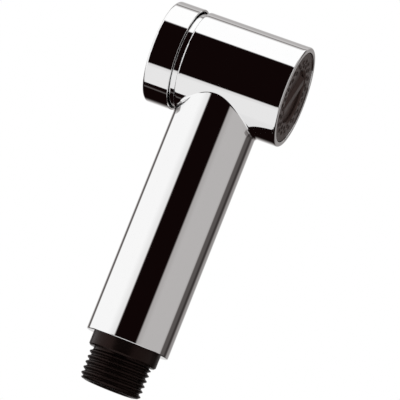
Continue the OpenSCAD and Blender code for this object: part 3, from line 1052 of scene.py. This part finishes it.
@dataclass
class HoseEnd:
    """The black moulded end: thread, collar, and the shank that goes up the handle."""

    thread: HoseThread = field(default_factory=HoseThread)
    inlet_r: float = 7.0
    inlet_top_z: float = 0.9
    collar_r: float = 11.5
    collar_bevel: float = 0.5
    collar_h: float = 4.5
    shank_r: float = 10.95
    groove_r: float = 9.1
    groove_z: float = 10.2
    groove_half: float = 1.0
    socket_r: float = 5.55
    socket_z: float = 6.4
    pipe_bore_r: float = 3.25
    edge_round: float = 0.15
    nose_round: float = 0.8
    points: int = 160
    node: str = "hose_connector"

    def build(self) -> bpy.types.Object:
        """Builds the moulded end.

        Returns:
            Its object.
        """
        end, top = low(self.node, 2), high(self.node, 2)
        groove_low = self.groove_z - self.groove_half
        groove_high = self.groove_z + self.groove_half
        skin = Skin("hose_end")
        outline = [
            (self.collar_r - self.collar_bevel, 0.0, 0.0),
            (self.collar_r, self.collar_bevel, self.edge_round),
            (self.collar_r, self.collar_h, 0.0),
            (self.shank_r, self.collar_h, 0.0),
            (self.shank_r, groove_low, 0.0),
            (self.groove_r, groove_low, 0.0),
            (self.groove_r, groove_high, 0.0),
            (self.shank_r, groove_high, 0.0),
            (self.shank_r, top, 0.0),
            (self.socket_r, top, 0.0),
            (self.socket_r, self.socket_z, 0.0),
            (self.pipe_bore_r, self.socket_z, 0.0),
            (self.pipe_bore_r, self.inlet_top_z, 0.0),
            (self.inlet_r, self.inlet_top_z, 0.0),
            (self.inlet_r, end + self.thread.nose, self.edge_round),
            ((self.inlet_r + self.thread.root_r) / 2.0, end, self.nose_round),
            (self.thread.crest_r - self.thread.bevel + self.thread.nose,
             end + self.thread.nose, 0.0),
        ]
        rings = self.thread.rings(skin, self.points, end)
        rings += [skin.circle(Axis.HANDLE, self.points, *point)
                  for point in soften(outline)[:-1]]
        skin.loft(rings, closed=True)
        return skin.piece("root", FINISHES["black_plastic"], self.node, turned_out=True)


@dataclass
class NozzleField:
    """Where the spray nozzles stand: two rings, the outer one turned by half a step."""

    inner_r: float = 10.575
    outer_r: float = 12.175
    count: int = 20

    def places(self) -> list[Point]:
        """Gives where every nozzle stands.

        Returns:
            The distance from the head axis and the angle of each.
        """
        step = TURN / self.count
        return [(off, step * (index + shift))
                for off, shift in ((self.inner_r, 0.0), (self.outer_r, 0.5))
                for index in range(self.count)]

    def pierce(self, skin: Skin, outline: Sequence[Point],
               count: int) -> tuple[list[Ring], list[Ring]]:
        """Adds a small turned tube at the place of every nozzle.

        Args:
            skin: Mesh that gets the tubes.
            outline: Points as radius and place along the head axis.
            count: Points round each tube.

        Returns:
            The first rings and the last rings of all the tubes.
        """
        firsts: list[Ring] = []
        lasts: list[Ring] = []
        for off, angle in self.places():
            rings = [skin.pin_ring(radius, along, off, angle, count)
                     for radius, along in outline]
            skin.loft(rings)
            firsts.append(rings[0])
            lasts.append(rings[-1])
        return firsts, lasts


@dataclass
class SprayFace:
    """The dark cup in the head's front, with its pocket and its nozzle holes."""

    nozzles: NozzleField = field(default_factory=NozzleField)
    outer_r: float = 15.25
    inner_r: float = 13.15
    pocket_r: float = 9.05
    pocket_bevel: float = 0.55
    boss_r: float = 9.45
    stud_hole_r: float = 2.55
    rear_x: float = 14.0
    pad_x: float = 17.7
    back_x: float = 19.2
    floor_x: float = 18.9
    edge: float = 0.2
    hole_r: float = 0.76
    hole_edge: float = 0.1
    pocket_round: float = 0.1
    rim_round: float = 0.06
    points: int = 160
    hole_points: int = 20
    node: str = "spray_face"

    def build(self) -> bpy.types.Object:
        """Builds the cup.

        Returns:
            Its object.
        """
        face_x = high(self.node, 0)
        skin = Skin("face_cup")
        boss = skin.spin(Axis.HEAD, self.points, [
            (self.pocket_r + self.pocket_bevel, face_x, 0.0),
            (self.pocket_r, face_x - self.pocket_bevel, self.pocket_round),
            (self.pocket_r, self.floor_x, 0.0),
            (self.stud_hole_r, self.floor_x, 0.0),
            (self.stud_hole_r, self.pad_x, 0.0),
            (self.boss_r, self.pad_x, 0.0),
            (self.boss_r, self.back_x, 0.0),
        ], closed=False)
        wall = skin.spin(Axis.HEAD, self.points, [
            (self.inner_r, self.back_x, 0.0),
            (self.inner_r, self.rear_x, 0.0),
            (self.outer_r, self.rear_x, 0.0),
            (self.outer_r, face_x - self.edge, self.rim_round),
            (self.outer_r - self.edge, face_x, 0.0),
        ], closed=False)
        backs, fronts = self.nozzles.pierce(skin, [
            (self.hole_r, self.back_x),
            (self.hole_r, face_x - self.hole_edge),
            (self.hole_r + self.hole_edge, face_x),
        ], self.hole_points)
        skin.fill([wall[-1], boss[0], *fronts])
        skin.fill([wall[0], boss[-1], *backs])
        return skin.piece("root", FINISHES["grey_plastic"], self.node, turned_out=True)


@dataclass
class NozzlePad:
    """The soft ring behind the face, with a nozzle through each of its holes."""

    nozzles: NozzleField = field(default_factory=NozzleField)
    inner_r: float = 9.55
    outer_r: float = 13.05
    front_x: float = 19.2
    root_r: float = 0.7
    tip_r: float = 0.56
    tip_round: float = 0.14
    hole_r: float = 0.2
    hole_round: float = 0.06
    round_steps: int = 4
    points: int = 96
    nozzle_points: int = 20
    node: str = "nozzle_pad"

    def build(self) -> bpy.types.Object:
        """Builds the pad with its nozzles.

        Returns:
            Its object.
        """
        rear_x, tip_x = low(self.node, 0), high(self.node, 0)
        skin = Skin("nozzle_ring")
        inside = skin.spin(Axis.HEAD, self.points, [
            (self.inner_r, self.front_x, 0.0), (self.inner_r, rear_x, 0.0)], closed=False)
        outside = skin.spin(Axis.HEAD, self.points, [
            (self.outer_r, rear_x, 0.0), (self.outer_r, self.front_x, 0.0)], closed=False)
        fronts, backs = self.nozzles.pierce(skin, soften([
            (self.root_r, self.front_x, 0.0),
            (self.tip_r, tip_x, self.tip_round),
            (self.hole_r, tip_x, self.hole_round),
            (self.hole_r, rear_x, 0.0),
        ], self.round_steps), self.nozzle_points)
        skin.fill([outside[-1], inside[0], *fronts])
        skin.fill([outside[0], inside[-1], *backs])
        return skin.piece("root", FINISHES["nozzle_rubber"], self.node, turned_out=True)


@dataclass
class SprayInsert:
    """The round insert in the pocket, with its slanted grip bar and its stud."""

    disc_r: float = 9.0
    disc_rear_x: float = 18.9
    disc_x: float = 20.0
    stud_r: float = 2.5
    bar_r: float = 8.8
    bar_w: float = 5.4
    bar_top_w: float = 2.6
    bar_round: float = 0.35
    foot_round: float = 0.3
    foot_w: float = 0.5
    sink: float = 0.02
    end_l: float = 0.35
    end_drop: float = 0.18
    stud_round: float = 0.3
    disc_round: float = 0.12
    tilt: float = math.radians(52.0)
    round_steps: int = 6
    stations: int = 48
    points: int = 160
    node: str = "spray_insert"

    @property
    def foot_x(self) -> float:
        """Place of the bar's foot, just inside the disc."""
        return self.disc_x - self.sink

    def bar_section(self) -> list[Point]:
        """Gives the section across the bar, from one foot to the other.

        Returns:
            The points as place across the bar and place along the head axis.
        """
        top = high(self.node, 0)
        half, top_half = self.bar_w / 2.0, self.bar_top_w / 2.0
        return soften([
            (-half - self.foot_w, self.foot_x, 0.0),
            (-half, self.foot_x, self.foot_round),
            (-top_half, top, self.bar_round),
            (top_half, top, self.bar_round),
            (half, self.foot_x, self.foot_round),
            (half + self.foot_w, self.foot_x, 0.0),
        ], self.round_steps)

    def build_bar(self, skin: Skin) -> None:
        """Builds the grip bar, cut round at both ends.

        Args:
            skin: Mesh that gets the bar.
        """
        rows: list[Ring] = []
        for across, height in self.bar_section():
            reach = math.sqrt(self.bar_r ** 2 - across ** 2)
            row: Ring = []
            for index in range(self.stations + 1):
                share = 2.0 * index / self.stations - 1.0
                along = reach * share
                drop = smooth(abs(share), 1.0 - self.end_l / reach, 1.0) * self.end_drop
                x = max(self.foot_x, height - drop)
                y = along * math.cos(self.tilt) + across * math.sin(self.tilt)
                z = along * math.sin(self.tilt) - across * math.cos(self.tilt)
                row.append(skin.bm.verts.new(Vector((x, y, HEAD_Z + z)) * MM))
            rows.append(row)
        skin.strip(rows[::-1])
        for index in (0, -1):
            edge = [row[index] for row in rows]
            foot = [skin.bm.verts.new((self.foot_x * MM, *vert.co.yz)) for vert in edge]
            skin.strip([edge, foot])

    def build(self) -> bpy.types.Object:
        """Builds the insert.

        Returns:
            Its object.
        """
        skin = Skin("insert_disc")
        skin.spin(Axis.HEAD, self.points, [
            (0.0, low(self.node, 0), 0.0),
            (self.stud_r, low(self.node, 0), self.stud_round),
            (self.stud_r, self.disc_rear_x, 0.0),
            (self.disc_r, self.disc_rear_x, 0.0),
            (self.disc_r, self.disc_x, self.disc_round),
            (0.0, self.disc_x, 0.0),
        ], closed=False)
        self.build_bar(skin)
        return skin.piece("root", FINISHES["grey_plastic"], self.node)


@dataclass
class ReturnSpring:
    """The coil spring behind the cap; the real one shortens as the cap goes in, and this mesh
    stays at one length.
    """

    mean_r: float = 6.8
    wire_r: float = 0.45
    open_coils: int = 4
    coil_gap: float = 0.1
    seat_gap: float = 0.05
    first_turn: float = -0.25
    joint: str = "button_slide"
    travel: float = 1.8
    steps: int = 36
    sides: int = 12
    node: str = "return_spring"

    def rise(self, turn: float, closed: float, pitch: float) -> float:
        """Gives how far the wire has come along the axis, with a closed coil at each end.

        Args:
            turn: Turns from the rear end.
            closed: Rise of a closed coil.
            pitch: Rise of an open coil.

        Returns:
            The rise in millimetres.
        """
        slow = min(turn, 1.0) + max(0.0, turn - 1.0 - self.open_coils)
        return closed * slow + pitch * min(max(turn - 1.0, 0.0), self.open_coils)

    def build(self) -> bpy.types.Object:
        """Builds the spring.

        Returns:
            Its object.
        """
        rear, front = low(self.node, 0), high(self.node, 0)
        closed = 2.0 * self.wire_r + self.coil_gap
        pitch = (front - rear - 2.0 * self.wire_r - 2.0 * closed) / self.open_coils
        skin = Skin("coil_spring")
        rings: list[Ring] = []
        for index in range((self.open_coils + 2) * self.steps + 1):
            turn = index / self.steps
            along = rear + self.wire_r + self.rise(turn, closed, pitch)
            ring: Ring = []
            for side in range(self.sides):
                lean = TURN * side / self.sides
                ring.append(skin.bm.verts.new(Axis.HEAD.place(
                    self.mean_r + self.wire_r * math.cos(lean),
                    along + self.wire_r * math.sin(lean),
                    TURN * (turn + self.first_turn))))
            rings.append(ring)
        skin.loft(rings)
        skin.bm.faces.new(rings[0])
        skin.bm.faces.new(rings[-1][::-1])
        made = skin.piece("root", FINISHES["spring_steel"], self.node, turned_out=True)
        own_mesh(made)
        return made


@dataclass
class InnerWorks:
    """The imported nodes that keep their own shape: valve, seals, pipe, button and strainer."""

    def build(self) -> None:
        """Dresses each node in the finish of its material slot."""
        for name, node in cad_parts.items():
            if node.hide_render:
                continue
            slot = node.data.materials[0].name
            FINISHES[slot].dress(node)
            LOG.info("%s: packed shape in %s", name, slot)


@dataclass(frozen=True)
class Panel:
    """A panel of the studio, by azimuth from -Y towards +X and by elevation, in degrees."""

    left: float
    right: float
    bottom: float
    top: float
    glow: float
    side_blur: float = 6.0
    edge_blur: float = 3.0

    def share(self, azimuth: float, elevation: float) -> float:
        """Gives how much of the panel shows in a direction.

        Args:
            azimuth: Azimuth in degrees.
            elevation: Elevation in degrees.

        Returns:
            A share from 0 to 1.
        """
        middle = (self.left + self.right) / 2.0
        away = abs((azimuth - middle + 180.0) % 360.0 - 180.0)
        half = (self.right - self.left) / 2.0
        side = smooth(away, half + self.side_blur / 2.0, half - self.side_blur / 2.0)
        blur = self.edge_blur / 2.0
        above = smooth(elevation, self.bottom - blur, self.bottom + blur)
        below = smooth(elevation, self.top + blur, self.top - blur)
        return side * above * below


@dataclass
class Studio:
    """The photographer's tent of pale and dark panels, the floor and the soft lamp."""

    radius: float = 2400.0
    rows: int = 150
    warmth: Colour = (0.0, 0.1, 0.13)
    shadow: Colour = (0.0048, 0.0019, 0.0019)
    open_glow: float = 1.05
    floor_gap: float = 100.0
    floor_rings: tuple[float, ...] = (1400.0, 700.0, 280.0)
    floor_points: int = 96
    floor_colour: Colour = (0.8, 0.8, 0.79)
    floor_paler: float = 1.02
    floor_lift: float = 0.32
    lamp_place: Corner = (-700.0, -1000.0, 1200.0)
    lamp_size: float = 900.0
    lamp_power: float = 2.2
    panels: dict[str, Panel] = field(default_factory=lambda: {
        "left_cloth": Panel(-122.0, -20.0, -91.0, 40.0, 0.98, 10.0, 30.0),
        "left_falloff": Panel(-40.0, -20.0, -45.0, 45.0, 0.83, 24.0, 8.0),
        "right_ramp": Panel(135.0, 205.0, -91.0, 61.5, 0.3, 8.0, 4.0),
        "rear_wall": Panel(178.0, 226.0, -91.0, 61.5, 0.79, 26.0, 4.0),
        "left_ramp": Panel(-151.0, -138.0, -91.0, 55.0, 0.42, 18.0, 8.0),
        "left_seam": Panel(-142.5, -125.8, -91.0, 55.0, 0.1, 9.0, 8.0),
        "rear_haze": Panel(140.0, 226.0, 25.0, 50.0, 0.46, 10.0, 14.0),
        "rear_top": Panel(150.0, 228.0, 46.0, 61.5, 0.56, 10.0, 4.0),
        "rear_seam": Panel(176.0, 232.0, 53.8, 57.4, 0.15, 8.0, 2.4),
        "right_wall": Panel(20.0, 114.0, -62.0, 72.0, 0.48, 7.0, 8.0),
        "right_dusk": Panel(30.0, 44.0, -62.0, 72.0, 0.41, 16.0, 8.0),
        "right_shade": Panel(114.0, 150.5, -70.0, 64.0, 0.095, 10.0, 8.0),
        "right_slot": Panel(135.0, 146.0, -70.0, 64.0, 0.035, 9.0, 8.0),
        "flag": Panel(-26.5, 34.5, -41.0, 54.5, 0.0, 5.0, 2.5),
        "flag_top": Panel(-48.0, 34.5, 24.0, 54.5, 0.0, 5.0, 2.5),
        "flag_foot": Panel(-40.0, 34.5, -41.0, -16.0, 0.0, 5.0, 2.5),
        "low_front": Panel(-96.0, 96.0, -91.0, -41.0, 0.84, 3.0, 2.5),
        "low_lip": Panel(-60.0, 60.0, -46.0, -41.0, 0.76, 12.0, 3.0),
        "low_rear": Panel(96.0, 264.0, -91.0, -15.0, 0.0, 3.0, 34.0),
        "low_line": Panel(200.0, 240.0, -69.6, -68.2, 0.16, 10.0, 1.4),
    })

    @property
    def middle(self) -> Vector:
        """Middle of the handset, which the tent goes round and the lamp is aimed at."""
        return Vector((0.0, 0.0, HEAD_Z / 2.0)) * MM

    def glow(self, azimuth: float, elevation: float) -> float:
        """Gives the brightness of the tent in a direction.

        Args:
            azimuth: Azimuth in degrees.
            elevation: Elevation in degrees.

        Returns:
            The brightness, where 1 is white.
        """
        value = self.open_glow
        for panel in self.panels.values():
            share = panel.share(azimuth, elevation)
            value += (panel.glow - value) * share
        return value

    def cloth(self, azimuth: float, elevation: float) -> tuple[float, ...]:
        """Gives the colour of the tent in a direction, warmer where it is grey.

        Args:
            azimuth: Azimuth in degrees.
            elevation: Elevation in degrees.

        Returns:
            The colour with its alpha.
        """
        glow = self.glow(azimuth, elevation)
        grey = glow * max(0.0, 1.0 - glow) ** 2
        return (*(glow - grey * cut + floor
                  for cut, floor in zip(self.warmth, self.shadow)), 1.0)

    def build_tent(self) -> None:
        """Builds the tent round the handset, seen in reflections alone."""
        skin = Skin("studio_tent")
        layer = skin.bm.verts.layers.float_color.new("glow")
        middle, reach = self.middle, self.radius * MM
        grid: list[Ring] = []
        for row in range(self.rows + 1):
            elevation = 180.0 * row / self.rows - 90.0
            level = math.radians(elevation)
            flat, rise = math.cos(level), math.sin(level)
            ring: Ring = []
            for index in range(2 * self.rows):
                azimuth = 180.0 * index / self.rows
                turn = math.radians(azimuth)
                away = Vector((flat * math.sin(turn), -flat * math.cos(turn), rise))
                vert = skin.bm.verts.new(middle + away * reach)
                vert[layer] = self.cloth(azimuth, elevation)
                ring.append(vert)
            grid.append(ring)
        skin.loft(grid[::-1])
        tent = skin.settle()
        tent.visible_camera = False
        tent.visible_shadow = False
        material, board = new_material("tent_cloth")
        glow = board.add("Attribute", attribute_name="glow")
        light = board.add("Emission", {"Color": glow.outputs["Color"], "Strength": 1.0})
        board.show(light.outputs[0])
        tent.data.materials.append(material)
        LOG.info("%s: %d panels", skin.name, len(self.panels))

    def build_floor(self) -> None:
        """Builds the pale floor well below the handset, clear from underneath."""
        skin = Skin("studio_floor")
        height = low("hose_connector", 2) - self.floor_gap
        rings = [skin.circle(Axis.HANDLE, self.floor_points, radius, height)
                 for radius in self.floor_rings]
        skin.loft(rings)
        skin.bm.faces.new(rings[-1])
        floor = skin.settle()
        floor.visible_glossy = False
        material, board = new_material("floor_paper")
        speck = Effect.MOTTLE.place(board, Scale=30.0, Contrast=0.6)
        paler = tuple(channel * self.floor_paler for channel in self.floor_colour)
        paper = board.add("BsdfDiffuse", {
            "Color": board.blend(speck, self.floor_colour, paler)})
        seen = board.add("LightPath").outputs["Is Camera Ray"]
        lift = board.add("Emission", {
            "Color": WHITE, "Strength": board.span(seen, 0.0, self.floor_lift)})
        both = board.add("AddShader")
        sheet = board.add("MixShader", {
            "Fac": board.add("NewGeometry").outputs["Backfacing"]})
        clear = board.add("BsdfTransparent")
        board.put(both.inputs[0], paper.outputs[0])
        board.put(both.inputs[1], lift.outputs[0])
        board.put(sheet.inputs[1], both.outputs[0])
        board.put(sheet.inputs[2], clear.outputs[0])
        board.show(sheet.outputs[0])
        floor.data.materials.append(material)
        LOG.info("%s: %.0f mm below the handset", skin.name, self.floor_gap)

    def build_world(self) -> None:
        """Sets the plain white world that the camera sees behind the handset."""
        world = bpy.data.worlds.new("white_studio")
        world.use_nodes = True
        board = Board(world.node_tree)
        sky = board.add("Background", {"Color": WHITE, "Strength": 1.0})
        board.show(sky.outputs[0], "OutputWorld")
        bpy.context.scene.world = world

    def build_lamp(self) -> None:
        """Hangs one wide soft lamp over the camera's left side."""
        data = bpy.data.lights.new("soft_lamp", "AREA")
        data.shape = "DISK"
        data.size = self.lamp_size * MM
        data.energy = self.lamp_power
        lamp = link_object("soft_lamp", data)
        lamp.location = Vector(self.lamp_place) * MM
        lamp.rotation_mode = "QUATERNION"
        aim = self.middle - lamp.location
        lamp.rotation_quaternion = aim.to_track_quat("-Z", "Y")
        lamp.visible_glossy = False
        lamp.visible_camera = False

    def build(self) -> None:
        """Builds the whole studio."""
        self.build_tent()
        self.build_floor()
        self.build_world()
        self.build_lamp()


@dataclass
class StudioCamera:
    """The camera at the photograph's viewing angle."""

    target: Corner = (4.405, 1.486, 56.586)
    distance: float = 1054.6
    azimuth: float = 13.76
    elevation: float = -6.60
    roll: float = 21.709
    lens: float = 293.6
    nearest: float = 10.0
    furthest: float = 50000.0

    def build(self) -> None:
        """Places the camera and makes it the scene's own."""
        turn, rise = math.radians(self.azimuth), math.radians(self.elevation)
        back = Vector((math.sin(turn) * math.cos(rise), -math.cos(turn) * math.cos(rise),
                       math.sin(rise)))
        side = Vector((0.0, 0.0, 1.0)).cross(back).normalized()
        up = back.cross(side)
        lean = math.radians(self.roll)
        right = side * math.cos(lean) + up * math.sin(lean)
        above = up * math.cos(lean) - side * math.sin(lean)
        place = (Vector(self.target) + back * self.distance) * MM
        data = bpy.data.cameras.new("studio_camera")
        data.lens = self.lens
        data.clip_start, data.clip_end = self.nearest * MM, self.furthest * MM
        camera = link_object("studio_camera", data)
        camera.matrix_world = Matrix.Translation(place) @ Matrix(
            (right, above, back)).transposed().to_4x4()
        bpy.context.scene.camera = camera


def write_sizes() -> None:
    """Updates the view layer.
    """
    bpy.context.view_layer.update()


def main() -> None:
    """Builds the handset's looks, the camera and the studio."""
    logging.basicConfig(level=logging.INFO, format="%(name)s: %(message)s")
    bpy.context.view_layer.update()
    StudioCamera().build()
    Housing().build()
    PushCap().build()
    HoseEnd().build()
    SprayFace().build()
    NozzlePad().build()
    SprayInsert().build()
    ReturnSpring().build()
    InnerWorks().build()
    Studio().build()
    bpy.context.scene.view_settings.view_transform = "Standard"
    write_sizes()


if __name__ == "__main__":
    main()
